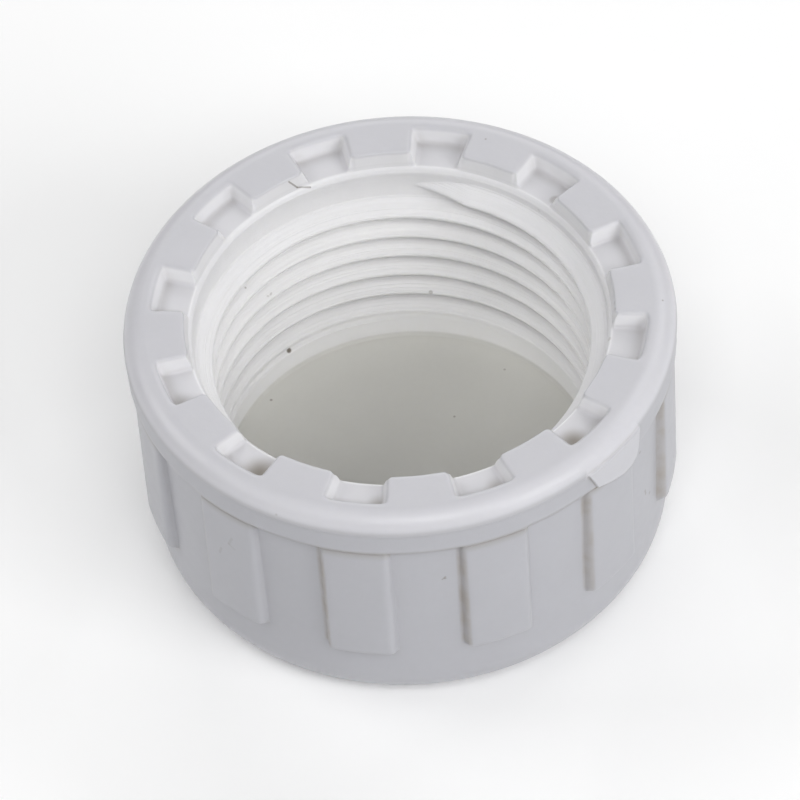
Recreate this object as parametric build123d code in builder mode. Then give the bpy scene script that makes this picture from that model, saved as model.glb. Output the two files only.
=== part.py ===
"""Female threaded end cap for a 1 inch parallel pipe thread, moulded in one piece.

Millimetres. +Z up, mouth upwards, origin at the centre of the flat base.
The first notch and the first grip rib are centred on -Y.
"""
from build123d import *
from math import cos, radians, sin, tan
import os

os.makedirs("parts", exist_ok=True)

# --- driving dimensions ---------------------------------------------------
HEIGHT = 24.0
FLOOR_THICKNESS = 4.1

# outside
RIM_RADIUS = 22.1  # widest point of the rolled rim
RIM_ROUND = 1.75  # radius of the rolled top of the rim
BAND_RADIUS = 22.0  # plain band below the parting line
BAND_BOTTOM = HEIGHT - 4.0
WALL_TOP_RADIUS = 21.25
WALL_DRAFT = 1.4  # degrees
BASE_ROUND = 4.0  # large round between wall and base

# grip ribs
GRIPS = 12
RIB_WIDTH = 5.8
RIB_BOTTOM = 7.3
RIB_TOP_RADIUS = 21.85
RIB_BOTTOM_RADIUS = 21.7
RIB_EDGE_ROUND = 0.35
RIB_CORNER_ROUND = 0.5

# mouth
TAB_TOP_RADIUS = 17.15
TAB_FOOT_RADIUS = 16.9
LIP_DEPTH = 1.4  # ledge under the tabs
LEAD_IN_DEPTH = 1.8  # where the plain lead-in begins
NOTCH_WIDTH = 5.0  # at its outer wall
NOTCH_NARROWING = 0.27  # loss of width per millimetre towards the bore
NOTCH_OUTER_RADIUS = 19.85
NOTCH_INNER_RADIUS = 12.0  # the cut ends here, inside the open bore
NOTCH_DEPTH = 1.4
NOTCH_DRAFT = 15  # degrees
NOTCH_FLOOR_ROUND = 0.2

# 1 inch parallel pipe thread, 11 threads per inch, 55 degree flanks
PITCH = 25.4 / 11
MAJOR_RADIUS = 33.249 / 2
MINOR_RADIUS = 30.291 / 2
PLAIN_BAND_RADIUS = 15.1
FLANK_ANGLE = 27.5
CREST_WIDTH = PITCH / 6
CREST_ROUND = 0.14
THREAD_START_ANGLE = 186  # where the ridge runs out at the mouth, from -Y towards +X
THREAD_START_DEPTH = 3.35  # depth of the ridge's centre there
RUN_IN_ANGLE = 16  # the ridge grows to full height over this angle
RUN_OUT_TURNS = 0.5  # the last part of the ridge is buried in the plain band
PLAIN_BAND_DEPTH = 17.9  # the wall below this is plain, at the minor radius

# mark of the moulding gate, cut off almost flush with the rim
GATE_ANGLE = 60
GATE_RADIUS = 22.25
GATE_TOP = HEIGHT - 1.6
GATE_SHOULDER = HEIGHT - 3.7
GATE_BOTTOM = HEIGHT - 4.8
GATE_CORNER_ROUND = 0.9

# construction
OVERLAP = 0.3  # added shapes reach this far into the body
SKIN = 0.02  # the ridge's tip keeps this far from zero height
PAD_ROOT_RADIUS = WALL_TOP_RADIUS - 2  # ribs and gate start inside the wall
REACH = 4.0  # pads and cuts run this far, past the faces they end on
X_AXIS_ANGLE = 90  # where +X lies when angles count from -Y towards +X


def radial_plane(angle, radius=0.0):
    """Plane whose normal points outwards at this angle, measured from -Y towards +X."""
    turn = radians(angle)
    outward = Vector(sin(turn), -cos(turn), 0)
    tangent = Vector(cos(turn), sin(turn), 0)
    return Plane(origin=outward * radius, x_dir=tangent, z_dir=outward)


def wall_radius(z):
    """Radius of the drafted outer wall at height z."""
    return WALL_TOP_RADIUS - (BAND_BOTTOM - z) * tan(radians(WALL_DRAFT))


# --- rotational body: rim, wall, base, floor, lead-in and plain bore ------------
FOOT_RADIUS = wall_radius(BASE_ROUND)
BORE_STEP = HEIGHT - PLAIN_BAND_DEPTH
BORE_STEP_CHAMFER = (MAJOR_RADIUS - PLAIN_BAND_RADIUS) * tan(radians(FLANK_ANGLE))

with BuildPart() as body:
    with BuildSketch(Plane.XZ):
        with BuildLine():
            Line((0, 0), (FOOT_RADIUS - BASE_ROUND, 0))
            RadiusArc((FOOT_RADIUS - BASE_ROUND, 0), (FOOT_RADIUS, BASE_ROUND), -BASE_ROUND)
            Polyline(
                (FOOT_RADIUS, BASE_ROUND),
                (WALL_TOP_RADIUS, BAND_BOTTOM),
                (BAND_RADIUS, BAND_BOTTOM),
                (BAND_RADIUS, HEIGHT - RIM_ROUND),
                (RIM_RADIUS, HEIGHT - RIM_ROUND),
            )
            RadiusArc(
                (RIM_RADIUS, HEIGHT - RIM_ROUND),
                (RIM_RADIUS - RIM_ROUND, HEIGHT),
                -RIM_ROUND,
            )
            Polyline(
                (RIM_RADIUS - RIM_ROUND, HEIGHT),
                (TAB_TOP_RADIUS, HEIGHT),
                (TAB_FOOT_RADIUS, HEIGHT - LIP_DEPTH),
                (MAJOR_RADIUS, HEIGHT - LEAD_IN_DEPTH),
                (MAJOR_RADIUS, BORE_STEP + BORE_STEP_CHAMFER),
                (PLAIN_BAND_RADIUS, BORE_STEP),
                (PLAIN_BAND_RADIUS, FLOOR_THICKNESS),
                (0, FLOOR_THICKNESS),
                (0, 0),
            )
        make_face()
    revolve(axis=Axis.Z)

# --- twelve grip ribs: a drafted ring cut into pads with rounded lower corners ---
RIB_TOP = BAND_BOTTOM + OVERLAP
RIB_INNER_RADIUS = wall_radius(RIB_BOTTOM) - OVERLAP
with BuildPart() as rib_pad:
    with BuildSketch(Plane.XZ.offset(PAD_ROOT_RADIUS)) as rib_outline:
        with Locations((0, (RIB_BOTTOM + RIB_TOP) / 2)):
            Rectangle(RIB_WIDTH, RIB_TOP - RIB_BOTTOM)
        fillet(rib_outline.vertices().group_by(Axis.Z)[0], RIB_CORNER_ROUND)
    extrude(amount=REACH)
rib_pads = [rib_pad.part.rotate(Axis.Z, 360 / GRIPS * i) for i in range(GRIPS)]

with BuildPart() as ribs:
    with BuildSketch(Plane.XZ):
        with BuildLine():
            Polyline(
                (RIB_INNER_RADIUS, RIB_BOTTOM),
                (RIB_BOTTOM_RADIUS - RIB_EDGE_ROUND, RIB_BOTTOM),
            )
            RadiusArc(
                (RIB_BOTTOM_RADIUS - RIB_EDGE_ROUND, RIB_BOTTOM),
                (RIB_BOTTOM_RADIUS, RIB_BOTTOM + RIB_EDGE_ROUND),
                -RIB_EDGE_ROUND,
            )
            Polyline(
                (RIB_BOTTOM_RADIUS, RIB_BOTTOM + RIB_EDGE_ROUND),
                (RIB_TOP_RADIUS, RIB_TOP),
                (RIB_INNER_RADIUS, RIB_TOP),
                (RIB_INNER_RADIUS, RIB_BOTTOM),
            )
        make_face()
    revolve(axis=Axis.Z)
    add(rib_pads, mode=Mode.INTERSECT)

# --- gate mark on the rim: an uneven outline, lowest at its right ------------------
with BuildPart() as gate:
    with BuildSketch(radial_plane(GATE_ANGLE, PAD_ROOT_RADIUS)) as gate_outline:
        Polygon(
            (-3.1, GATE_TOP),
            (-2.2, GATE_SHOULDER),
            (0.9, GATE_BOTTOM),
            (2.6, GATE_BOTTOM),
            (3.3, GATE_TOP),
            align=None,
        )
        fillet(gate_outline.vertices().group_by(Axis.Z)[0], GATE_CORNER_ROUND)
    extrude(amount=REACH)
    with BuildSketch(Plane.XY):
        Circle(GATE_RADIUS)
    extrude(amount=HEIGHT, mode=Mode.INTERSECT)

# --- notches: drafted pockets that narrow towards the bore and open into it ---------
NOTCH_INNER_WIDTH = NOTCH_WIDTH - NOTCH_NARROWING * (NOTCH_OUTER_RADIUS - NOTCH_INNER_RADIUS)
with BuildPart() as notch:
    with BuildSketch(Plane.XY.offset(HEIGHT)):
        Polygon(
            (-NOTCH_WIDTH / 2, -NOTCH_OUTER_RADIUS),
            (NOTCH_WIDTH / 2, -NOTCH_OUTER_RADIUS),
            (NOTCH_INNER_WIDTH / 2, -NOTCH_INNER_RADIUS),
            (-NOTCH_INNER_WIDTH / 2, -NOTCH_INNER_RADIUS),
            align=None,
        )
    extrude(amount=-NOTCH_DEPTH, taper=NOTCH_DRAFT)
    outer_floor_edge = notch.edges().group_by(Axis.Z)[0].sort_by(Axis.Y)[0]
    fillet(outer_floor_edge, NOTCH_FLOOR_ROUND)
notches = [notch.part.rotate(Axis.Z, 360 / GRIPS * i) for i in range(GRIPS)]

# --- thread ridge: a right-handed sweep that ends below the lead-in -----------------
ROOT_RADIUS = MAJOR_RADIUS + OVERLAP
ROOT_WIDTH = CREST_WIDTH + 2 * (ROOT_RADIUS - MINOR_RADIUS) * tan(radians(FLANK_ANGLE))
THREAD_TURNS = (PLAIN_BAND_DEPTH - THREAD_START_DEPTH) / PITCH + RUN_OUT_TURNS
RIDGE_START_Z = HEIGHT - THREAD_START_DEPTH - THREAD_TURNS * PITCH
RIDGE_TURN = THREAD_START_ANGLE - X_AXIS_ANGLE - 360 * THREAD_TURNS

with BuildPart() as ridge:
    with BuildLine() as helix:
        Helix(PITCH, THREAD_TURNS * PITCH, MINOR_RADIUS, center=(0, 0, RIDGE_START_Z))
    with BuildSketch(Plane.XZ) as ridge_profile:
        with Locations((0, RIDGE_START_Z)):
            Polygon(
                (MINOR_RADIUS, -CREST_WIDTH / 2),
                (ROOT_RADIUS, -ROOT_WIDTH / 2),
                (ROOT_RADIUS, ROOT_WIDTH / 2),
                (MINOR_RADIUS, CREST_WIDTH / 2),
                align=None,
            )
        fillet(ridge_profile.vertices().group_by(Axis.X)[0], CREST_ROUND)
    sweep(path=helix.line, is_frenet=True)
ridge_turned = ridge.part.rotate(Axis.Z, RIDGE_TURN)

# the run-in is a flat cut: no height at the start, full height RUN_IN_ANGLE further down,
# from the lead-in to midway between the first turn and the second
full_height = radial_plane(THREAD_START_ANGLE - RUN_IN_ANGLE, MINOR_RADIUS).origin
no_height = radial_plane(THREAD_START_ANGLE, MAJOR_RADIUS + SKIN).origin
run_in = no_height - full_height
run_in_top = HEIGHT - LEAD_IN_DEPTH
run_in_bottom = HEIGHT - THREAD_START_DEPTH - PITCH / 2 * (1 + RUN_IN_ANGLE / 360)
run_in_plane = Plane(origin=full_height, x_dir=run_in, z_dir=run_in.cross(Vector(0, 0, 1)))
with BuildPart() as run_in_cut:
    with BuildSketch(run_in_plane):
        with Locations((0, (run_in_top + run_in_bottom) / 2)):
            Rectangle(
                run_in.length + OVERLAP,
                run_in_top - run_in_bottom,
                align=(Align.MIN, Align.CENTER),
            )
    extrude(amount=-REACH)

# the lower end runs out inside the plain band
with BuildPart() as thread:
    with BuildSketch(Plane.XY.offset(BORE_STEP - OVERLAP)):
        Circle(RIM_RADIUS)
    extrude(amount=HEIGHT)
    add(ridge_turned, mode=Mode.INTERSECT)
    add(run_in_cut.part, mode=Mode.SUBTRACT)

# --- the one moulding ---------------------------------------------------------------
with BuildPart() as end_cap:
    add(body.part)
    add(ribs.part)
    add(gate.part)
    add(notches, mode=Mode.SUBTRACT)
    add(thread.part)
end_cap.part.label = "end_cap"
export_step(end_cap.part, "parts/end_cap.step")
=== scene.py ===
"""Looks of the threaded end cap: one white PVC moulding, mouth upwards on a pale floor.

The shape is worked out in millimetres and degrees, and becomes metres when its mesh is made.
Angles run from -Y towards +X, as in the CAD model, so the first notch and the first rib are at 0.
A path is a list of (radius, height) points, and every path runs from the base, up the outside,
over the rim and down the bore to the middle of the inner floor.
"""
from math import atan2, cos, degrees, pi, radians, sin, tan

import bmesh
import bpy
import numpy as np
from mathutils import Matrix, Vector


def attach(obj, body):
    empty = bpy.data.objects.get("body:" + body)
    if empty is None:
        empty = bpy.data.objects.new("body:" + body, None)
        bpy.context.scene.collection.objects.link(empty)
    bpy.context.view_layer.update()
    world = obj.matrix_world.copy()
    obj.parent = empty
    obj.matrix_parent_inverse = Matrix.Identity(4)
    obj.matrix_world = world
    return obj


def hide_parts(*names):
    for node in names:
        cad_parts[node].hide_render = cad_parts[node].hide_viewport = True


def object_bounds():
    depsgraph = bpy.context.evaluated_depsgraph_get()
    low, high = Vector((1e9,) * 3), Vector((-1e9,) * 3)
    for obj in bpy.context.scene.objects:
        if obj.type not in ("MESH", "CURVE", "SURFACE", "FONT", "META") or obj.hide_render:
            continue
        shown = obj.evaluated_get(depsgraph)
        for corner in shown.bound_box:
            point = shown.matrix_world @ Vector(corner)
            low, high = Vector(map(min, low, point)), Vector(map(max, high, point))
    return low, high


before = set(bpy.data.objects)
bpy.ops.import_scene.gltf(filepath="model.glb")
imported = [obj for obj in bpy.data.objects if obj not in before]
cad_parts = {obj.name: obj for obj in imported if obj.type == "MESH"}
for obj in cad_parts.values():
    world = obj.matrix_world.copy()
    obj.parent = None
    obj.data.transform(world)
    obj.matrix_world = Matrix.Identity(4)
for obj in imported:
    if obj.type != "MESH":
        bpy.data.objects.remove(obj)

CAD_LOW, CAD_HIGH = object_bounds()
MM = 0.001

# --- driving dimensions, from the photo and the CAD model -----------------------------------------
HEIGHT = CAD_HIGH.z / MM
RIM_RADIUS = min(*CAD_HIGH.xy, *-CAD_LOW.xy) / MM
RIM_ROUND = 1.75
BAND_RADIUS = RIM_RADIUS - 0.1
BAND_BOTTOM = HEIGHT - 4.0
PARTING_HEIGHT = HEIGHT - RIM_ROUND
WALL_TOP_RADIUS = 21.25
WALL_DRAFT = 1.4
BASE_ROUND = 4.0
RIB_BOTTOM = 7.3
RIB_TOP_RADIUS = 21.85
RIB_BOTTOM_RADIUS = 21.7
TAB_RADIUS = 17.15  # top of the tabs' inner faces
TAB_CORNER_ROUND = 0.5
TAB_CORNER_DEPTH = 0.3
TAB_HALF_GAP = 2.5  # half the clear width between two tabs, at the notches' outer ends
NOTCH_OUTER_RADIUS = 20.0
NOTCH_FLOOR = HEIGHT - 1.4
NOTCH_NARROWING = 0.053  # share of a notch's width lost per millimetre towards the bore
PITCH = 25.4 / 11
MAJOR_RADIUS = 33.249 / 2
MINOR_RADIUS = 30.291 / 2
FLANK = radians(27.5)
FORM_ROUND = 0.1373 * PITCH  # rounding of the thread's crests and roots
THREAD_START_ANGLE = 186.0  # where the ridge runs out at the mouth
THREAD_START_HEIGHT = HEIGHT - 3.35
RUN_IN_ANGLE = 16.0
BAND_TOP = HEIGHT - 17.9  # below this the bore is plain
THREAD_TOP = HEIGHT - 2.0  # the helical rows lie between these two rings
THREAD_BOTTOM = BAND_TOP - 0.1
RUN_OUT_HEIGHT = 1.0  # the groove grows to its full depth over this height above the band
PLAIN_RADIUS = 15.1
FLOOR_HEIGHT = 4.1

# --- columns: the grid's stations round the cap ---------------------------------------------------
SECTORS = 12
SECTOR = 360 / SECTORS
EVEN_STEPS = 5  # stations from the end of a station list to the middle of the sector's edge

# distance from the middle of a notch, and how much of the notch's path is followed there
NOTCH_STATIONS = [
    (0.00, 1.00), (0.60, 1.00), (1.15, 1.00), (1.56, 1.00), (1.80, 0.985), (1.94, 0.93),
    (2.04, 0.84), (2.12, 0.70), (2.20, 0.54), (2.28, 0.38), (2.35, 0.25), (2.44, 0.13),
    (2.55, 0.04), (2.67, 0.01), (2.84, 0.00),
]
# distance from the middle of a rib, and how much of the rib's path is followed there
RIB_STATIONS = [
    (0.00, 1.00), (0.80, 1.00), (1.50, 1.00), (2.05, 1.00), (2.25, 0.985), (2.41, 0.94),
    (2.54, 0.86), (2.64, 0.74), (2.72, 0.58), (2.78, 0.39), (2.82, 0.21), (2.86, 0.07),
    (2.92, 0.01), (3.05, 0.00), (3.40, 0.00),
]
STATIONS = len(NOTCH_STATIONS) + EVEN_STEPS
PER_SECTOR = 2 * (STATIONS - 1)
COLUMNS = SECTORS * PER_SECTOR


def wall_radius(z):
    """Radius of the drafted outer wall at height z."""
    return WALL_TOP_RADIUS - (BAND_BOTTOM - z) * tan(radians(WALL_DRAFT))


def arc(centre, radius, start, end, steps):
    """Points of an arc in a path, from start to end degrees; 0 points outwards and 90 up."""
    turn = np.radians(np.linspace(start, end, steps + 1))
    return [(centre[0] + radius * cos(t), centre[1] + radius * sin(t)) for t in turn]


def all_round(half):
    """Values at one half sector's stations, repeated round the cap."""
    return np.tile(np.concatenate([half[-2:0:-1], half]), SECTORS)


def column_angles(half):
    """Angles of the columns, from one half sector's angles."""
    local = np.concatenate([-half[-2:0:-1], half])
    return (np.arange(SECTORS)[:, None] * SECTOR + local).ravel()


EVEN_HALF = np.linspace(0, SECTOR / 2, STATIONS)


def half_angles(offsets, radii, narrowing):
    """Angles of half a sector's stations, from their distances from the middle line."""
    radii = radii[: len(offsets)]
    width = 1 - narrowing * np.clip(NOTCH_OUTER_RADIUS - radii, 0, None)
    near = np.degrees(np.arcsin(np.minimum(offsets * width / radii, 1)))
    far = np.linspace(near[-1], SECTOR / 2, EVEN_STEPS + 1)[1:]
    return np.concatenate([near, far])


def mixed_row(stations, inside, outside, spread=0.0):
    """A row that follows the feature's point inside it and the plain point outside it.

    outside may give a radius for each station. spread moves the columns towards even spacing.
    """
    offsets = np.array([s[0] for s in stations])
    share = np.array([s[1] for s in stations] + [0.0] * EVEN_STEPS)
    radii = share * inside[0] + (1 - share) * outside[0]
    heights = share * inside[1] + (1 - share) * outside[1]
    narrowing = NOTCH_NARROWING if stations is NOTCH_STATIONS else 0
    angles = (1 - spread) * half_angles(offsets, radii, narrowing) + spread * EVEN_HALF
    return column_angles(angles), all_round(radii), all_round(heights)


def plain_row(stations, point, spread=0.0):
    """A row at one radius and height all round."""
    return mixed_row(stations, point, point, spread)


# --- outside --------------------------------------------------------------------------------------
def base_rows():
    """Flat base and the large round above it."""
    foot = wall_radius(BASE_ROUND)
    flat = foot - BASE_ROUND
    path = [(flat / 3, 0), (flat * 2 / 3, 0)]
    path += arc((flat, BASE_ROUND), BASE_ROUND, -90, -WALL_DRAFT, 10)
    spreads = np.linspace(1, 0, len(path))
    return [plain_row(RIB_STATIONS, point, spread) for point, spread in zip(path, spreads)]


def rib_rows():
    """Drafted wall with its ribs, up to just below the band."""
    rows = [plain_row(RIB_STATIONS, (wall_radius(z), z)) for z in (5.2, 6.4)]
    foot = wall_radius(RIB_BOTTOM)
    # radius on a rib, and heights on the rib and on the wall beside it, from the rib's end
    rib_end = [
        (foot, -0.38, -0.38), (foot + 0.04, -0.20, -0.24), (foot + 0.14, -0.10, -0.14),
        (foot + 0.40, -0.05, -0.05), (RIB_BOTTOM_RADIUS - 0.18, -0.01, 0.04),
        (RIB_BOTTOM_RADIUS - 0.06, 0.06, 0.15), (RIB_BOTTOM_RADIUS, 0.22, 0.30),
        (RIB_BOTTOM_RADIUS, 0.50, 0.50),
    ]
    for radius, on_rib, beside in rib_end:
        z = RIB_BOTTOM + beside
        rib = (radius, RIB_BOTTOM + on_rib)
        rows.append(mixed_row(RIB_STATIONS, rib, (wall_radius(z), z)))
    for z in (10.0, 13.0, 16.0, 18.0, BAND_BOTTOM - 0.8, BAND_BOTTOM - 0.38):
        share = (z - RIB_BOTTOM) / (BAND_BOTTOM - RIB_BOTTOM)
        rib_radius = RIB_BOTTOM_RADIUS + share * (RIB_TOP_RADIUS - RIB_BOTTOM_RADIUS)
        rows.append(mixed_row(RIB_STATIONS, (rib_radius, z), (wall_radius(z), z)))
    return rows


def band_rows():
    """Plain band between the ribs and the parting line, and the rolled rim above it."""
    top = WALL_TOP_RADIUS
    # radius and height from the band's bottom, over a rib and over the wall beside it
    edge = [
        ((RIB_TOP_RADIUS, -0.16), (top, -0.20)),
        ((RIB_TOP_RADIUS - 0.09, -0.05), (top + 0.05, -0.07)),
        ((RIB_TOP_RADIUS - 0.04, 0.00), (top + 0.25, -0.02)),
        ((BAND_RADIUS - 0.10, 0.07), (BAND_RADIUS - 0.28, 0.02)),
        ((BAND_RADIUS - 0.04, 0.20), (BAND_RADIUS - 0.11, 0.14)),
        ((BAND_RADIUS, 0.42), (BAND_RADIUS, 0.42)),
    ]
    rows = []
    for rib, wall in edge:
        rib, wall = (rib[0], BAND_BOTTOM + rib[1]), (wall[0], BAND_BOTTOM + wall[1])
        rows.append(mixed_row(RIB_STATIONS, rib, wall))
    # radius and height from the parting line
    path = [
        (BAND_RADIUS, -1.45), (BAND_RADIUS, -0.95), (BAND_RADIUS, -0.45), (BAND_RADIUS, -0.22),
        (BAND_RADIUS - 0.01, -0.10), (BAND_RADIUS + 0.02, 0), (RIM_RADIUS - 0.02, 0.09),
    ]
    rows += [plain_row(RIB_STATIONS, (radius, PARTING_HEIGHT + z)) for radius, z in path]
    roll = arc((RIM_RADIUS - RIM_ROUND, PARTING_HEIGHT), RIM_ROUND, 4, 90, 10)
    for i, point in enumerate(roll):
        share = (i + 1) / len(roll)
        low, high = plain_row(RIB_STATIONS, point), plain_row(NOTCH_STATIONS, point)
        rows.append((low[0] + share * (high[0] - low[0]), low[1], low[2]))
    return rows


# --- mouth ----------------------------------------------------------------------------------------
def tab_corner_cut():
    """How far the round at a tab's top corners reaches outwards, at each station."""
    offsets = np.array([s[0] for s in NOTCH_STATIONS] + [10.0] * EVEN_STEPS)
    near = 1 - np.clip(np.abs(offsets - TAB_HALF_GAP) / TAB_CORNER_ROUND, 0, 1)
    return TAB_CORNER_DEPTH * near**2


def mouth_rows():
    """Top face, notches and tabs, from the rolled rim inwards to the ledge under the tabs."""
    # radius and depth below the top of the notch's outer wall, and then radii along its floor
    wall = [
        (20.24, 0), (20.08, 0.025), (19.95, 0.09), (19.86, 0.20), (19.80, 0.38),
        (19.73, 0.67), (19.64, 0.98), (19.54, 1.18), (19.42, 1.31), (19.26, 1.38),
    ]
    notch = [(radius, HEIGHT - depth) for radius, depth in wall]
    notch += [(radius, NOTCH_FLOOR) for radius in (18.95, 18.50, 18.05, 17.55, 17.17)]
    notch_lip = [(radius, NOTCH_FLOOR) for radius in (17.10, 17.06, 17.02, 16.98, 16.94)]
    # a tab's inner face: radius, depth below the top, and how much of the corner's cut is left
    tab_face = [
        (TAB_RADIUS + 0.05, 0.05, 1.0), (TAB_RADIUS, 0.16, 0.9), (TAB_RADIUS - 0.10, 0.65, 0.5),
        (TAB_RADIUS - 0.20, 1.15, 0.2), (TAB_RADIUS - 0.24, 1.38, 0.0),
    ]
    cut = tab_corner_cut()
    crown = 0.16  # round between a tab's top and its inner face
    start, end = notch[0][0], notch[-1][0]
    rows = []
    for point in notch:
        across = (start - point[0]) / (start - end)
        radii = start + (TAB_RADIUS + crown + cut - start) * across
        rows.append(mixed_row(NOTCH_STATIONS, point, (radii, HEIGHT)))
    for point, (radius, depth, left) in zip(notch_lip, tab_face):
        rows.append(mixed_row(NOTCH_STATIONS, point, (radius + left * cut, HEIGHT - depth)))
    return rows


def lead_in_rows():
    """Ledge under the tabs, its bright chamfer, and the plain lead-in above the thread."""
    # radius and depth below the top
    ledge = [
        (16.89, 1.415), (16.85, 1.45), (16.79, 1.52), (16.71, 1.63), (16.66, 1.74), (16.63, 1.86),
    ]
    path = [(radius, HEIGHT - depth) for radius, depth in ledge] + [(MAJOR_RADIUS, THREAD_TOP)]
    spreads = np.linspace(0, 1, len(path))
    return [plain_row(NOTCH_STATIONS, point, spread) for point, spread in zip(path, spreads)]


def floor_rows():
    """Plain band under the thread, the small round at its foot and the inner floor."""
    foot_round = 0.3
    foot = (PLAIN_RADIUS - foot_round, FLOOR_HEIGHT + foot_round)
    path = [(PLAIN_RADIUS, THREAD_BOTTOM), (PLAIN_RADIUS, 5.2)]
    path += arc(foot, foot_round, 0, -90, 4)
    path += [(radius, FLOOR_HEIGHT) for radius in (13.6, 11.0, 8.0, 5.0, 2.0)]
    return [plain_row(NOTCH_STATIONS, point, 1.0) for point in path]


# --- thread: its rows follow the helix ------------------------------------------------------------
CREST_END = FORM_ROUND * cos(FLANK)  # axial distance from a crest's middle to its flank
ROOT_START = PITCH / 2 - CREST_END
HALF_FLAT = PITCH / 12  # half the width of the crest before it is rounded
# where the lines lie across a crest, a flank and a root, as shares of their widths
CREST_STEPS = (-1, -0.69, -0.36, 0, 0.36, 0.69, 1)
FLANK_STEPS = (0.45, 0.9)
ROOT_STEPS = (-0.93, -0.5, 0, 0.5, 0.93)
LINES = len(CREST_STEPS) + 2 * len(FLANK_STEPS) + len(ROOT_STEPS)  # rows in one turn
TURNS = range(-1, 8)  # more turns than the bore holds; lines outside it are left out
LINE_CLEARANCE = 0.03  # lines end this far from the rings above and below the thread


def thread_form(s):
    """Radii of the thread at axial distances s from the middle of a crest."""
    s = np.abs(s)
    crest = MINOR_RADIUS + FORM_ROUND - np.sqrt(np.clip(FORM_ROUND**2 - s**2, 0, None))
    to_root = PITCH / 2 - s
    root = MAJOR_RADIUS - FORM_ROUND + np.sqrt(np.clip(FORM_ROUND**2 - to_root**2, 0, None))
    flank = MINOR_RADIUS + (s - HALF_FLAT) / tan(FLANK)
    return np.where(s < CREST_END, crest, np.where(s > ROOT_START, root, flank))


def thread_radius(angle, height):
    """Radius of the thread's surface at one angle and height."""
    middle = THREAD_START_HEIGHT - (THREAD_START_ANGLE - angle) / 360 * PITCH
    return float(thread_form((height - middle + PITCH / 2) % PITCH - PITCH / 2))


def sunk(past):
    """How far the ridge is sunk into the wall, at angles past its end at the mouth."""
    left = 1 - np.clip(past / RUN_IN_ANGLE, 0, 1)
    return (MAJOR_RADIUS - MINOR_RADIUS) * left


def thread_lines(angles):
    """Heights and radii of every line of the thread at every column, the highest line first."""
    heights, radii = [], []
    for turn in TURNS:
        past = turn * 360 + THREAD_START_ANGLE - angles
        middle = THREAD_START_HEIGHT - past / 360 * PITCH
        sinking = sunk(past)
        foot = HALF_FLAT + (MAJOR_RADIUS - MINOR_RADIUS - sinking) * tan(FLANK)
        flank_width = np.clip((foot - CREST_END) / FLANK_STEPS[-1], 0.06, ROOT_START - CREST_END)
        upper_root = [step * CREST_END - PITCH / 2 for step in ROOT_STEPS if step >= 0]
        upper_flank = [-CREST_END - step * flank_width for step in reversed(FLANK_STEPS)]
        crest_lines = [step * CREST_END for step in CREST_STEPS]
        lower_flank = [CREST_END + step * flank_width for step in FLANK_STEPS]
        lower_root = [PITCH / 2 + step * CREST_END for step in ROOT_STEPS if step < 0]
        for place in upper_root + upper_flank + crest_lines + lower_flank + lower_root:
            place = place + 0 * angles
            height = middle - place
            ridge = np.minimum(thread_form(place) + sinking, MAJOR_RADIUS)
            radius = np.where(past > 0, ridge, MAJOR_RADIUS)
            depth = np.clip((height - BAND_TOP) / RUN_OUT_HEIGHT, 0, 1)
            depth = depth**2 * (3 - 2 * depth)
            heights.append(height)
            radii.append(PLAIN_RADIUS + depth * (radius - PLAIN_RADIUS))
    return np.array(heights), np.array(radii)


# --- one mesh from all the rows -------------------------------------------------------------------
def places(angles, radii, heights):
    """Points in millimetres from angles, radii and heights."""
    turn = np.radians(angles)
    return np.column_stack([radii * np.sin(turn), -radii * np.cos(turn), heights])


def strip(first, second):
    """Faces between two rows of the same columns, given by their first points' numbers."""
    here = np.arange(COLUMNS)
    after = (here + 1) % COLUMNS
    return np.column_stack([first + here, first + after, second + after, second + here]).tolist()


def fan(pole, row, outwards):
    """Triangles between a pole and the row round it."""
    here = np.arange(COLUMNS)
    after = (here + 1) % COLUMNS
    if outwards:
        here, after = after, here
    return np.column_stack([np.full(COLUMNS, pole), row + here, row + after]).tolist()


def thread_faces(numbers, upper, lower):
    """Faces of the helical rows, zipped to the ring above and the ring below.

    numbers holds each line's point at each column, or -1 where the line has left the bore.
    """
    faces = []
    for column in range(COLUMNS):
        beside = (column + 1) % COLUMNS
        here = numbers[:, column]
        there = numbers[:, beside]
        if beside == 0:  # one turn further round, each line lies a pitch higher
            there = np.concatenate([np.full(LINES, -1), there[:-LINES]])
        first_here, last_here = np.flatnonzero(here >= 0)[[0, -1]]
        first_there, last_there = np.flatnonzero(there >= 0)[[0, -1]]
        here, there = here.tolist(), there.tolist()
        ring = upper + beside
        faces.append([ring, here[first_here], upper + column])
        for line in range(first_here, first_there):
            faces.append([ring, here[line + 1], here[line]])
        faces.append([ring, there[first_there], here[first_there]])
        for line in range(first_there, last_here):
            faces.append([here[line], there[line], there[line + 1], here[line + 1]])
        for line in range(last_here, last_there):
            faces.append([here[last_here], there[line], there[line + 1]])
        faces.append([here[last_here], there[last_there], lower + beside])
        faces.append([here[last_here], lower + beside, lower + column])
    return faces


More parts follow.
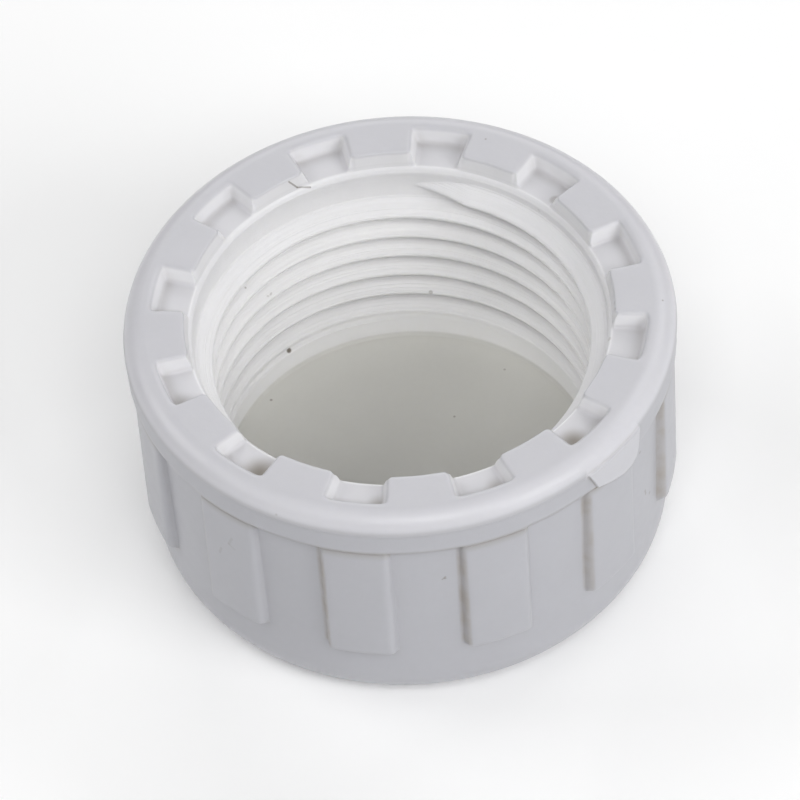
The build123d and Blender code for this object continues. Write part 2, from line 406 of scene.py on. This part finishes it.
def cap_points_and_faces():
    """Every point and face of the moulding, without the gate mark."""
    above = base_rows() + rib_rows() + band_rows() + mouth_rows() + lead_in_rows()
    below = floor_rows()
    angles = above[-1][0]
    heights, radii = thread_lines(angles)
    held = heights < THREAD_TOP - LINE_CLEARANCE
    held &= heights > THREAD_BOTTOM + LINE_CLEARANCE

    points = [np.array([[0.0, 0.0, 0.0]])] + [places(*row) for row in above]
    base_pole, first_row = 0, 1
    last_ring = first_row + (len(above) - 1) * COLUMNS
    thread_first = last_ring + COLUMNS
    numbers = np.full(held.shape, -1)
    numbers[held] = thread_first + np.arange(held.sum())
    round_angles = np.broadcast_to(angles, held.shape)
    points.append(places(round_angles[held], radii[held], heights[held]))
    next_ring = thread_first + int(held.sum())
    points += [places(*row) for row in below]
    floor_pole = next_ring + len(below) * COLUMNS
    points.append(np.array([[0.0, 0.0, FLOOR_HEIGHT]]))

    faces = fan(base_pole, first_row, outwards=True)
    for row in range(len(above) - 1):
        faces += strip(first_row + row * COLUMNS, first_row + (row + 1) * COLUMNS)
    faces += thread_faces(numbers, last_ring, next_ring)
    for row in range(len(below) - 1):
        faces += strip(next_ring + row * COLUMNS, next_ring + (row + 1) * COLUMNS)
    faces += fan(floor_pole, floor_pole - COLUMNS, outwards=False)
    return np.concatenate(points), faces


# --- gate mark ------------------------------------------------------------------------------------
GATE_ANGLE = 60.0
GATE_RADIUS = RIM_RADIUS + 0.15
GATE_EDGE = 0.10  # width of the step at the mark's edge
GATE_MARGIN = 0.4  # the mesh is refined this far round the mark
GATE_REACH = WALL_TOP_RADIUS - 1  # only the outside, beyond this radius, is refined and raised
GATE_HALF_ANGLE = 8.0  # the bead above the mark has the bead's colour this far to each side
# (distance along the rim, height) of the mark's corners, counter-clockwise from the upper left
GATE_OUTLINE = [
    (-3.15, 22.5), (-2.20, 20.3), (-0.50, 19.55), (0.90, 19.2),
    (1.90, 19.22), (2.60, 19.6), (2.95, 20.4), (3.30, 22.5),
]


def outside_gate(across, height):
    """Distance of a point from the gate mark's outline, negative inside it."""
    worst = -np.inf
    for (x, y), (next_x, next_y) in zip(GATE_OUTLINE, GATE_OUTLINE[1:] + GATE_OUTLINE[:1]):
        along = Vector((next_x - x, next_y - y)).normalized()
        worst = max(worst, (across - x) * along.y - (height - y) * along.x)
    return worst


def add_gate_mark(work):
    """Refine the mesh round the gate and raise the mark, which is left where the gate was cut."""
    def place(co):
        angle = degrees(atan2(co.x, -co.y)) - GATE_ANGLE
        return radians(angle) * GATE_RADIUS, co.z

    def near(face):
        centre = face.calc_center_median()
        across, height = place(centre)
        return centre.xy.length > GATE_REACH and outside_gate(across, height) < GATE_MARGIN

    patch = [face for face in work.faces if near(face)]
    edges = list({edge for face in patch for edge in face.edges})
    bmesh.ops.subdivide_edges(work, edges=edges, cuts=3, use_grid_fill=True)
    for vert in work.verts:
        radius = vert.co.xy.length
        if radius < GATE_REACH:
            continue
        into = 0.5 - outside_gate(*place(vert.co)) / GATE_EDGE
        share = min(max(into, 0), 1)
        share *= share * (3 - 2 * share)
        if radius < GATE_RADIUS:
            vert.co.xy *= 1 + share * (GATE_RADIUS / radius - 1)


# --- the piece ------------------------------------------------------------------------------------
def flatter_normals(mesh):
    """Normals that lean towards the larger faces, so that flat faces stay flat beside rounds."""
    loops, faces = len(mesh.loops), len(mesh.polygons)
    corner_points = np.empty(loops, np.int32)
    mesh.loops.foreach_get("vertex_index", corner_points)
    normals, areas, sizes = np.empty(faces * 3), np.empty(faces), np.empty(faces, np.int32)
    mesh.polygons.foreach_get("normal", normals)
    mesh.polygons.foreach_get("area", areas)
    mesh.polygons.foreach_get("loop_total", sizes)
    weighted = np.repeat(normals.reshape(-1, 3) * areas[:, None], sizes, axis=0)
    total = np.zeros((len(mesh.vertices), 3))
    np.add.at(total, corner_points, weighted)
    total /= np.linalg.norm(total, axis=1)[:, None]
    mesh.polygons.foreach_set("use_smooth", np.ones(faces, bool))
    mesh.normals_split_custom_set_from_vertices(total.tolist())


def end_cap():
    """The moulding as one closed mesh."""
    points, faces = cap_points_and_faces()
    mesh = bpy.data.meshes.new("end_cap_moulding")
    mesh.from_pydata(points.tolist(), [], faces)
    work = bmesh.new()
    work.from_mesh(mesh)
    add_gate_mark(work)
    bmesh.ops.scale(work, vec=(MM, MM, MM), verts=work.verts)
    work.to_mesh(mesh)
    work.free()
    flatter_normals(mesh)
    piece = bpy.data.objects.new("end_cap_moulding", mesh)
    bpy.context.scene.collection.objects.link(piece)
    return piece


# --- materials ------------------------------------------------------------------------------------
class Graph:
    """A material and its nodes, with short calls that add nodes and join them."""

    def __init__(self, name):
        self.material = bpy.data.materials.new(name)
        self.material.use_nodes = True
        self.tree = self.material.node_tree
        self.shader = self.tree.nodes["Principled BSDF"]

    def put(self, socket, value):
        """Join a socket to another one, or give it a fixed value."""
        if isinstance(value, bpy.types.NodeSocket):
            self.tree.links.new(value, socket)
        else:
            socket.default_value = value

    def node(self, kind, inputs, **settings):
        """A node with its settings and its inputs."""
        node = self.tree.nodes.new(kind)
        for key, value in settings.items():
            setattr(node, key, value)
        for key, value in inputs.items():
            self.put(node.inputs[key], value)
        return node

    def math(self, operation, *values, clamp=False):
        """A number worked out from other numbers."""
        inputs = dict(enumerate(values))
        node = self.node("ShaderNodeMath", inputs, operation=operation, use_clamp=clamp)
        return node.outputs[0]

    def product(self, *values):
        """Numbers multiplied together."""
        result = values[0]
        for value in values[1:]:
            result = self.math("MULTIPLY", result, value)
        return result

    def lowered(self, value, zone, share):
        """A number with a share of it taken away inside a zone."""
        return self.product(value, self.math("MULTIPLY_ADD", zone, -share, 1.0))

    def vector(self, operation, *values):
        """A vector operation: DOT_PRODUCT and LENGTH give a number, the others a vector."""
        node = self.node("ShaderNodeVectorMath", dict(enumerate(values)), operation=operation)
        return node.outputs["Value" if operation in ("DOT_PRODUCT", "LENGTH") else "Vector"]

    def scaled(self, vector, factor):
        """A vector or a colour times a number."""
        inputs = {0: vector, "Scale": factor}
        return self.node("ShaderNodeVectorMath", inputs, operation="SCALE").outputs["Vector"]

    def fade(self, value, start, end):
        """0 where the value is at start, 1 where it is at end, and a smooth step between."""
        inputs = {"Value": value, "From Min": start, "From Max": end}
        node = self.node("ShaderNodeMapRange", inputs, interpolation_type="SMOOTHSTEP")
        return node.outputs["Result"]

    def mix(self, factor, first, second):
        """Two colours mixed by a factor."""
        inputs = {0: factor, 6: first, 7: second}
        return self.node("ShaderNodeMix", inputs, data_type="RGBA").outputs[2]

    def noise(self, place, scale, detail=2.0, roughness=0.5):
        """Noise from 0 to 1, about 0.5 on average."""
        inputs = {"Vector": place, "Scale": scale, "Detail": detail, "Roughness": roughness}
        return self.node("ShaderNodeTexNoise", inputs).outputs["Fac"]


def on_cap(angle, radius, height):
    """A point in millimetres, from its angle, radius and height."""
    turn = radians(angle)
    return Vector((radius * sin(turn), -radius * cos(turn), height))


# tints of one plastic, lighter or darker from zone to zone partly as painted light and shade, and
# of what lies on it
OUTER_TINT = (0.436, 0.438, 0.468, 1)
RIM_TINT = (0.575, 0.573, 0.604, 1)
# a painted highlight: the bead is lighter than the rim's flat top
BEAD_HIGHLIGHT_TINT = (0.628, 0.625, 0.658, 1)
# the notches' walls and the bore are lighter than the notches' floors and the outside, partly as
# painted light
NOTCH_TINT = (0.650, 0.646, 0.670, 1)
NOTCH_WALL_TINT = (0.775, 0.773, 0.793, 1)
BORE_TINT = (0.975, 0.972, 0.970, 1)
# painted shade on the bore's -X side and on the thread's flanks that face up
SHADED_BORE_TINT = (0.895, 0.892, 0.895, 1)
UP_FACING_SHADE_TINT = (0.790, 0.786, 0.790, 1)
# painted shade on the inner floor, and a painted shadow on one side of it
SHADED_FLOOR_TINT = (0.630, 0.625, 0.590, 1)
SHADOWED_FLOOR_TINT = (0.470, 0.465, 0.420, 1)
DUST_TINT = (0.16, 0.13, 0.10, 1)
# the tint of grime, also used for painted shade and painted shadow
GRIME_AND_SHADE_TINT = (0.24, 0.21, 0.17, 1)
RIB_FOOT_GRIME_AND_SHADE_TINT = (0.26, 0.20, 0.12, 1)

BORE_SHADE_REACH = 13.0  # painted light and shade: the bore turns from greyer to whiter between -X and +X of this
FLOOR_SHADOW_ANGLE = 20.0  # the side of the inner floor with the most painted shadow
FLOOR_SHADOW_START, FLOOR_SHADOW_FULL = 2.0, 14.0  # how far towards that side the painted shadow starts and is full
CLOUD_DEPTH, MOTTLE_DEPTH = 0.07, 0.035  # from the darkest to the lightest shade
GRIME_AND_SHADE_REACH = 1.2  # corners narrower than about this get grime and painted shade
BAND_SHADOW_DARKNESS, PARTING_DARKNESS, NOTCH_DUST_AND_SHADE = 0.34, 0.10, 0.15  # shares of the tint: painted shadow under the band, grime on the parting line, dust with painted shade in the notches
TOOL_LINE_HEIGHT, PEEL_HEIGHT, GRAIN_HEIGHT = 0.10, 0.012, 0.0025  # relief in millimetres
# specks of dust: angle, radius, height, size and darkness; no radius means on the thread
SPECKS = [
    (-129.6, 15.25, 6.45, 0.30, 0.95), (-116.1, None, 16.95, 0.13, 0.45),
    (-177.1, None, 9.2, 0.24, 0.4), (134.3, None, 19.1, 0.26, 0.2),
    (147.6, 16.63, 21.8, 0.22, 0.15),
    (-116, 14.2, 4.1, 0.16, 0.6), (159, 6.9, 4.1, 0.14, 0.5), (154.6, 13.3, 4.1, 0.14, 0.4),
    (-6.5, 21.45, 7.15, 0.35, 0.95), (145.3, 17.8, 22.62, 0.60, 0.35), (-16, 22.1, 22.9, 0.2, 0.3),
    (18.8, 21.2, 15.8, 0.17, 0.5), (169, 19.6, 24.0, 0.12, 0.4), (-156, 18.9, 24.0, 0.10, 0.6),
    (101, 17.1, 23.8, 0.22, 0.25), (98.6, 17.1, 23.9, 0.22, 0.3), (92, 16.8, 22.5, 0.28, 0.25),
    (101, 21.0, 23.9, 0.12, 0.45), (87, 21.0, 10.8, 0.18, 0.4), (86, 21.0, 8.8, 0.15, 0.4),
    (72.6, 21.25, 17.2, 0.22, 0.4), (77.5, 21.0, 10.2, 0.22, 0.35), (90.5, 21.75, 9.3, 0.2, 0.4),
    (72.2, 21.25, 18.7, 0.25, 0.25),
]
# soft stains and painted shadow in the corners of the front notches: angle, radius, height, size
# and darkness
STAINS_AND_SHADOWS = [
    (-26.0, 18.7, 22.65, 2.0, 0.85), (4.8, 18.9, 22.65, 1.2, 0.40), (-56.5, 18.9, 22.65, 1.2, 0.30),
    (33.5, 18.9, 22.65, 1.2, 0.35), (56.6, 18.8, 22.65, 1.6, 0.80),
]
# hairs and short scratches: two ends on the cap, width and darkness
HAIRS = [
    ((-138.6, 17.1, 23.7), (-140.7, 16.95, 22.8), 0.10, 0.6),
    ((-140.7, 16.95, 22.8), (-144.3, 16.75, 22.42), 0.10, 0.6),
    ((-126.6, 15.4, 14.7), (-124.1, 15.4, 14.2), 0.12, 0.30),
    ((-124.1, 15.4, 14.2), (-122.3, 15.4, 14.9), 0.12, 0.26),
    ((-28.4, 21.8, 16.9), (-29.4, 21.8, 16.0), 0.16, 0.14),
    ((-29.4, 21.8, 16.0), (-28.0, 21.8, 15.7), 0.16, 0.12),
    ((-31.8, 21.8, 14.8), (-32.4, 21.8, 14.1), 0.16, 0.16),
    ((70.8, 21.2, 19.4), (71.1, 21.2, 17.8), 0.14, 0.35),
    ((75.0, 21.05, 11.5), (75.4, 21.05, 10.9), 0.14, 0.40),
    ((18.2, 21.15, 15.7), (18.9, 21.15, 16.0), 0.10, 0.40),
]


def mark(graph, place, start, end, width):
    """1 on a thin mark from start to end, 0 beside it; a speck ends where it starts."""
    from_start = graph.vector("SUBTRACT", place, start)
    along = end - start
    if along.length > 0:
        share = graph.vector("DOT_PRODUCT", from_start, along / along.length_squared)
        share = graph.math("ADD", share, 0.0, clamp=True)
        from_start = graph.vector("SUBTRACT", from_start, graph.scaled(along, share))
    distance = graph.vector("LENGTH", from_start)
    return graph.fade(distance, width, width * 0.45)


class Surface:
    """Where a point of the surface lies on the cap, and the zones: 1 inside a zone, 0 outside."""

    def __init__(self, graph):
        local = graph.node("ShaderNodeTexCoord", {}).outputs["Object"]
        self.place = graph.scaled(local, 1 / MM)
        split = graph.node("ShaderNodeSeparateXYZ", {0: self.place}).outputs
        self.across, self.height = split["X"], split["Z"]
        self.radius = graph.vector("LENGTH", graph.vector("MULTIPLY", self.place, (1, 1, 0)))
        self.angle = graph.math("ARCTAN2", self.across, graph.math("MULTIPLY", split["Y"], -1.0))
        self.patches = graph.fade(graph.noise(self.place, 0.5, detail=3.0), 0.35, 0.7)

        # whatever lies inside the flat top of the rim
        self.inside = graph.product(
            graph.fade(self.radius, NOTCH_OUTER_RADIUS + 0.05, NOTCH_OUTER_RADIUS - 0.25),
            graph.fade(self.height, HEIGHT - 0.02, HEIGHT - 0.35),
        )
        # the same without the underside: notches, tabs' inner faces and bore
        self.notched = graph.product(
            self.inside, graph.fade(self.height, FLOOR_HEIGHT - 2, FLOOR_HEIGHT - 1)
        )
        self.bore = graph.product(
            self.notched,
            graph.fade(self.radius, TAB_RADIUS + 0.05, TAB_RADIUS - 0.2),
            graph.fade(self.height, THREAD_TOP + 3.0, THREAD_TOP - 6.0),
        )
        self.ribbed = graph.product(
            graph.fade(self.height, BAND_BOTTOM - 0.3, BAND_BOTTOM - 1.0),
            graph.fade(self.height, RIB_BOTTOM, RIB_BOTTOM + 0.5),
        )
        self.gate = graph.fade(self.radius, RIM_RADIUS + 0.02, RIM_RADIUS + 0.1)
        outer_side = graph.fade(self.radius, WALL_TOP_RADIUS - 0.8, WALL_TOP_RADIUS - 0.3)
        self.outside = graph.lowered(outer_side, self.gate, 1.0)


def zone_tints(graph, surface):
    """Tints of one plastic by zone: outside, rim with its bead, notches, bore and inner floor,
    differing partly as painted light and shade.
    """
    height, radius = surface.height, surface.radius
    from_gate = graph.math("SUBTRACT", surface.angle, radians(GATE_ANGLE))
    over_gate = graph.product(
        graph.fade(
            graph.math("ABSOLUTE", from_gate),
            radians(GATE_HALF_ANGLE + 1), radians(GATE_HALF_ANGLE),
        ),
        graph.fade(height, PARTING_HEIGHT - 0.45, PARTING_HEIGHT + 0.05),
    )
    rim = graph.fade(height, PARTING_HEIGHT + 0.05, PARTING_HEIGHT + 0.9)
    rim = graph.math("MAXIMUM", rim, graph.math("MAXIMUM", surface.gate, over_gate))
    rim = graph.lowered(rim, surface.gate, 0.45)  # the mark's tint is nearer to the outside's
    # painted highlight: the bead turns lighter than the flat top
    bead = graph.fade(radius, NOTCH_OUTER_RADIUS + 0.3, NOTCH_OUTER_RADIUS + 1.2)
    colour = graph.mix(rim, OUTER_TINT, graph.mix(bead, RIM_TINT, BEAD_HIGHLIGHT_TINT))

    notch_walls = graph.math(
        "MAXIMUM", graph.fade(height, NOTCH_FLOOR + 0.05, NOTCH_FLOOR + 0.45),
        graph.fade(radius, TAB_RADIUS - 0.05, TAB_RADIUS - 0.25),
    )
    notch_colour = graph.mix(notch_walls, NOTCH_TINT, NOTCH_WALL_TINT)
    colour = graph.mix(surface.notched, colour, notch_colour)

    # painted light and shade: the bore is greyer towards -X and whiter towards +X, and the thread's
    # flanks that face up are duller
    whiter = graph.fade(surface.across, -BORE_SHADE_REACH, BORE_SHADE_REACH)
    bore_colour = graph.mix(whiter, SHADED_BORE_TINT, BORE_TINT)
    facing = graph.node("ShaderNodeNewGeometry", {}).outputs["Normal"]
    facing_up = graph.fade(graph.vector("DOT_PRODUCT", facing, (0, 0, 1)), 0.1, 0.8)
    colour = graph.mix(surface.bore, colour, graph.mix(facing_up, bore_colour, UP_FACING_SHADE_TINT))

    # painted shade greys the inner floor, and a painted shadow darkens one side of it
    shadowed = graph.vector("DOT_PRODUCT", surface.place, on_cap(FLOOR_SHADOW_ANGLE, 1.0, 0.0))
    shadowed = graph.fade(shadowed, FLOOR_SHADOW_START, FLOOR_SHADOW_FULL)
    inner_floor = graph.fade(height, FLOOR_HEIGHT + 0.45, FLOOR_HEIGHT + 0.05)
    inner_floor = graph.product(inner_floor, surface.bore)
    floor_colour = graph.mix(shadowed, SHADED_FLOOR_TINT, SHADOWED_FLOOR_TINT)
    return graph.mix(inner_floor, colour, floor_colour)


def clouded(graph, surface, colour):
    """A colour with faint clouds and finer mottling, as light on average as before."""
    clouds = graph.noise(surface.place, 0.16, detail=3.0, roughness=0.6)
    mottle = graph.noise(surface.place, 1.7, detail=4.0, roughness=0.65)
    darkest = 1 - (CLOUD_DEPTH + MOTTLE_DEPTH) / 2
    shade = graph.math("MULTIPLY_ADD", clouds, CLOUD_DEPTH, darkest)
    shade = graph.math("MULTIPLY_ADD", mottle, MOTTLE_DEPTH, shade)
    return graph.scaled(colour, shade)


def grimy_and_shaded(graph, surface, colour):
    """A colour with patchy grime and painted shade in tight corners, less of it in the bore and
    beside the ribs.
    """
    nearby = graph.node(
        "ShaderNodeAmbientOcclusion", {"Distance": GRIME_AND_SHADE_REACH * MM}, samples=8, only_local=True
    )
    # grime and painted shade: darker where the cap's own surfaces hide more of the surroundings
    grime_and_shade = graph.fade(nearby.outputs["AO"], 0.97, 0.50)
    grime_and_shade = graph.product(grime_and_shade, graph.math("MULTIPLY_ADD", surface.patches, 0.3, 0.6))
    grime_and_shade = graph.lowered(grime_and_shade, surface.inside, 0.75)
    grime_and_shade = graph.lowered(grime_and_shade, surface.bore, 0.7)
    grime_and_shade = graph.lowered(grime_and_shade, surface.ribbed, 0.8)
    return graph.mix(grime_and_shade, colour, GRIME_AND_SHADE_TINT)


def lined(graph, surface, colour):
    """A colour with a line of grime and painted shade at each rib's foot, painted shadow under the
    band, the parting line, and dust with painted shade in the notches.
    """
    height, radius = surface.height, surface.radius
    # grime and painted shade along one foot of each rib, on the side away from the strongest
    # lights; the sine is lowest there
    foot = graph.math("SINE", graph.math("MULTIPLY", surface.angle, SECTORS))
    foot_darkness = graph.math("MULTIPLY_ADD", surface.patches, 0.25, 0.2)
    foot = graph.product(
        graph.fade(foot, -0.965, -1.0), surface.ribbed, foot_darkness, surface.outside
    )
    colour = graph.mix(foot, colour, RIB_FOOT_GRIME_AND_SHADE_TINT)

    # painted shadow on the wall under the band's overhang and on the band's lower edge
    band_shadow = graph.product(
        graph.fade(height, BAND_BOTTOM - 1.0, BAND_BOTTOM - 0.05),
        graph.fade(height, BAND_BOTTOM + 0.55, BAND_BOTTOM + 0.1),
        surface.outside, BAND_SHADOW_DARKNESS,
    )
    colour = graph.mix(band_shadow, colour, GRIME_AND_SHADE_TINT)

    from_parting = graph.math("SUBTRACT", height, PARTING_HEIGHT + 0.35)
    parting = graph.fade(graph.math("ABSOLUTE", from_parting), 0.3, 0.0)
    parting = graph.product(parting, surface.outside, PARTING_DARKNESS)
    colour = graph.mix(parting, colour, GRIME_AND_SHADE_TINT)

    # dust and painted shade along the foot of each notch's outer wall
    notch_dust_and_shade = graph.product(
        surface.notched,
        graph.fade(radius, NOTCH_OUTER_RADIUS - 1.6, NOTCH_OUTER_RADIUS - 0.6),
        graph.fade(height, NOTCH_FLOOR + 0.3, NOTCH_FLOOR + 0.05), NOTCH_DUST_AND_SHADE,
    )
    return graph.mix(notch_dust_and_shade, colour, GRIME_AND_SHADE_TINT)


def marked(graph, surface, colour):
    """A colour with the specks, the stains with painted shadow, and the hairs."""
    for angle, radius, height, size, darkness in SPECKS:
        if radius is None:
            radius = thread_radius(angle, height)
        centre = on_cap(angle, radius, height)
        speck = graph.product(mark(graph, surface.place, centre, centre, size), darkness)
        colour = graph.mix(speck, colour, DUST_TINT)
    # stains with painted shadow in the front notches' corners
    for angle, radius, height, size, darkness in STAINS_AND_SHADOWS:
        away = graph.vector("SUBTRACT", surface.place, on_cap(angle, radius, height))
        stain_and_shadow = graph.fade(graph.vector("LENGTH", away), size, 0.0)
        stain_and_shadow = graph.product(stain_and_shadow, surface.notched, darkness)
        colour = graph.mix(stain_and_shadow, colour, GRIME_AND_SHADE_TINT)
    for start, end, width, darkness in HAIRS:
        hair = mark(graph, surface.place, on_cap(*start), on_cap(*end), width)
        colour = graph.mix(graph.product(hair, darkness), colour, DUST_TINT)
    return colour


def set_gloss(graph, surface):
    """Gloss in soft patches, duller in the bore, on plastic that light enters a little way."""
    sockets = graph.shader.inputs
    patchy = graph.noise(surface.place, 0.9, detail=3.0, roughness=0.6)
    rough = graph.math("MULTIPLY_ADD", patchy, 0.14, 0.30)
    rough = graph.math("MULTIPLY_ADD", surface.bore, 0.08, rough)
    graph.put(sockets["Roughness"], rough)
    sockets["Specular IOR Level"].default_value = 0.5
    sockets["Subsurface Weight"].default_value = 0.3
    sockets["Subsurface Radius"].default_value = (1.0, 1.0, 0.9)
    sockets["Subsurface Scale"].default_value = 0.9 * MM


def set_relief(graph, surface):
    """Fine relief in millimetres: tool lines along the thread, orange peel and a fine grain."""
    # the phase stays the same along a helix, so the lines follow the thread
    turned = graph.math("MULTIPLY", surface.height, 2 * pi / PITCH)
    phase = graph.math("SUBTRACT", turned, surface.angle)
    ring = graph.node("ShaderNodeCombineXYZ", {
        "X": graph.math("COSINE", phase),
        "Y": graph.math("SINE", phase),
        "Z": graph.math("MULTIPLY", surface.height, 0.05),
    }).outputs[0]
    tool_lines = graph.product(
        graph.noise(ring, 3.4, detail=2.0, roughness=0.7),
        graph.fade(surface.height, BAND_TOP - 0.5, BAND_TOP + 0.5),
        graph.fade(surface.radius, MAJOR_RADIUS + 0.05, MAJOR_RADIUS - 0.03), TOOL_LINE_HEIGHT,
    )
    peel = graph.noise(surface.place, 1.6, detail=2.0)
    grain = graph.noise(surface.place, 7.0, detail=2.0)
    relief = graph.math("MULTIPLY_ADD", peel, PEEL_HEIGHT, tool_lines)
    relief = graph.math("MULTIPLY_ADD", grain, GRAIN_HEIGHT, relief)
    bump = graph.node("ShaderNodeBump", {"Height": relief, "Strength": 1.0, "Distance": MM})
    graph.put(graph.shader.inputs["Normal"], bump.outputs["Normal"])


def white_pvc():
    """Injection-moulded white PVC: soft gloss, tool lines in the thread, grime and dust."""
    graph = Graph("white_pvc")
    surface = Surface(graph)
    colour = zone_tints(graph, surface)
    for layer in (clouded, grimy_and_shaded, lined, marked):
        colour = layer(graph, surface, colour)
    graph.put(graph.shader.inputs["Base Color"], colour)
    set_gloss(graph, surface)
    set_relief(graph, surface)
    return graph.material


def floor_material():
    """Matt white floor with a faint glow, like a light table turned low."""
    graph = Graph("pale_floor")
    graph.shader.inputs["Base Color"].default_value = (0.93, 0.93, 0.93, 1)
    graph.shader.inputs["Roughness"].default_value = 0.9
    graph.shader.inputs["Emission Color"].default_value = (1, 1, 1, 1)
    graph.shader.inputs["Emission Strength"].default_value = 0.06
    return graph.material


# --- studio ---------------------------------------------------------------------------------------
LIGHT_SIZE = 0.6
LIGHT_DISTANCE = 1.2
# name, azimuth, elevation and power of the soft boxes
LIGHTS = [
    ("front", 18, 54, 5.9), ("front_left", -45, 45, 1.7), ("right", 62, 30, 6.0),
    ("side", 105, 30, 1.1), ("left", -95, 38, 3.5), ("back", 193, 30, 3.0),
    ("back_right", 150, 42, 2.3),
]
WORLD_STRENGTH = 0.06
FLOOR_HALF_WIDTH = 3.0


def floor():
    """A plain pale floor at the height that the cap stands on."""
    mesh = bpy.data.meshes.new("floor")
    half, z = FLOOR_HALF_WIDTH, CAD_LOW.z
    corners = [(-half, -half, z), (half, -half, z), (half, half, z), (-half, half, z)]
    mesh.from_pydata(corners, [], [(0, 1, 2, 3)])
    obj = bpy.data.objects.new("floor", mesh)
    obj.data.materials.append(floor_material())
    bpy.context.scene.collection.objects.link(obj)


def area_light(name, azimuth, elevation, power):
    """A soft square light that points at the cap."""
    light = bpy.data.lights.new(name, "AREA")
    light.size = LIGHT_SIZE
    light.energy = power
    obj = bpy.data.objects.new(name, light)
    a, e = radians(azimuth), radians(elevation)
    away = Vector((sin(a) * cos(e), -cos(a) * cos(e), sin(e)))
    obj.location = away * LIGHT_DISTANCE
    obj.rotation_mode = "QUATERNION"
    obj.rotation_quaternion = away.to_track_quat("Z", "Y")
    bpy.context.scene.collection.objects.link(obj)


def studio():
    """Soft boxes all round the cap, the strongest ones in front and to the right."""
    world = bpy.data.worlds.new("studio")
    world.use_nodes = True
    background = world.node_tree.nodes["Background"].inputs
    background["Color"].default_value = (1, 1, 1, 1)
    background["Strength"].default_value = WORLD_STRENGTH
    bpy.context.scene.world = world
    bpy.context.scene.view_settings.view_transform = "Standard"
    for light in LIGHTS:
        area_light(*light)


def camera():
    """The camera, by its direction from the cap, its distance, its roll and its aim."""
    azimuth, elevation, roll = radians(13.30), radians(49.092), radians(4.34)
    distance = 0.65534
    aim_right, aim_up = -0.000446, -0.007037
    back = Vector((
        sin(azimuth) * cos(elevation), -cos(azimuth) * cos(elevation), sin(elevation)
    ))
    right = Vector((cos(azimuth), sin(azimuth), 0))
    up = back.cross(right)
    data = bpy.data.cameras.new("camera")
    data.lens = 370.82
    data.sensor_width = 36
    data.clip_start, data.clip_end = 0.01, 100
    obj = bpy.data.objects.new("camera", data)
    mouth_centre = Vector((0, 0, CAD_HIGH.z))
    place = mouth_centre + right * aim_right + up * aim_up + back * distance
    rolled_right = right * cos(roll) - up * sin(roll)
    rolled_up = right * sin(roll) + up * cos(roll)
    turn = Matrix((rolled_right, rolled_up, back)).transposed().to_4x4()
    obj.matrix_world = Matrix.Translation(place) @ turn
    bpy.context.scene.collection.objects.link(obj)
    bpy.context.scene.camera = obj


camera()
studio()
floor()
cap = end_cap()
cap.data.materials.append(white_pvc())
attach(cap, "root")
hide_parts("end_cap")
